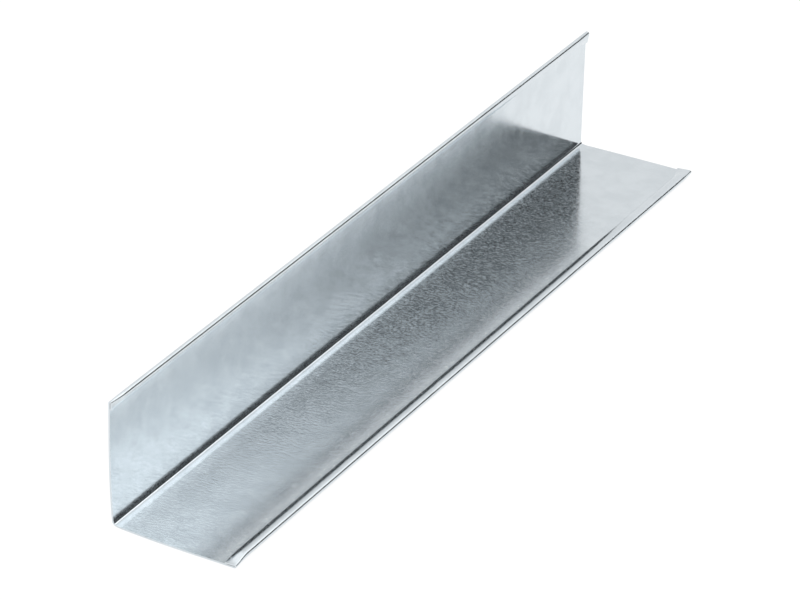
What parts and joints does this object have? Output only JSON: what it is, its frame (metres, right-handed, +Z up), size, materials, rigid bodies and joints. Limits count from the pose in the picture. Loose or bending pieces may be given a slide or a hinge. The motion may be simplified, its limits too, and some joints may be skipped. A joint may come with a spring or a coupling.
{
  "type": "concrete edging angle",
  "caption": "Galvanised sheet-steel angle with equal legs and folded-over safety edges, laid along the edge of a slab.",
  "frame": {"origin": "centre of the footprint, on the plane of the base leg's underside", "axes": "+Y along the length, +Z up the upright leg, +X from the upright leg to the base leg's free edge"},
  "size_m": [0.05, 0.34, 0.05],
  "materials": {
    "galvanised_sheet": "bright zinc coating, smooth, softly mirror-like with faint spangle and rolling streaks"
  },
  "bodies": {
    "root": {"hemmed_angle": "galvanised_sheet"}
  },
  "joints": []
}
